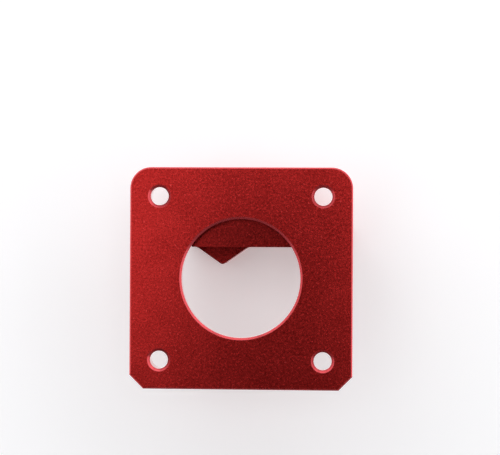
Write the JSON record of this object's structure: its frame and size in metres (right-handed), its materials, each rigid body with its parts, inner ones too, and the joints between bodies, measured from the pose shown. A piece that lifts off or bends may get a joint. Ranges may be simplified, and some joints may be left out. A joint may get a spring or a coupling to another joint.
{
  "type": "extruder feeder base plate",
  "caption": "Square motor plate milled in one piece with a tall guide block that carries a filament bore, a threaded tube port and a wedge nose beside the gear bore.",
  "frame": {"origin": "centre of the pilot bore, in the plane of the face that lies on the motor", "axes": "+Z out of the motor face towards the motor, +Y towards the side with the tube port, +X towards the side that the block is flush with"},
  "size_m": [0.0422, 0.042, 0.023],
  "materials": {
    "anodised": "bead-blasted and dyed red by anodising, with brighter cut chamfers and bores"
  },
  "bodies": {
    "root": {"feeder_plate": "anodised"}
  },
  "joints": []
}
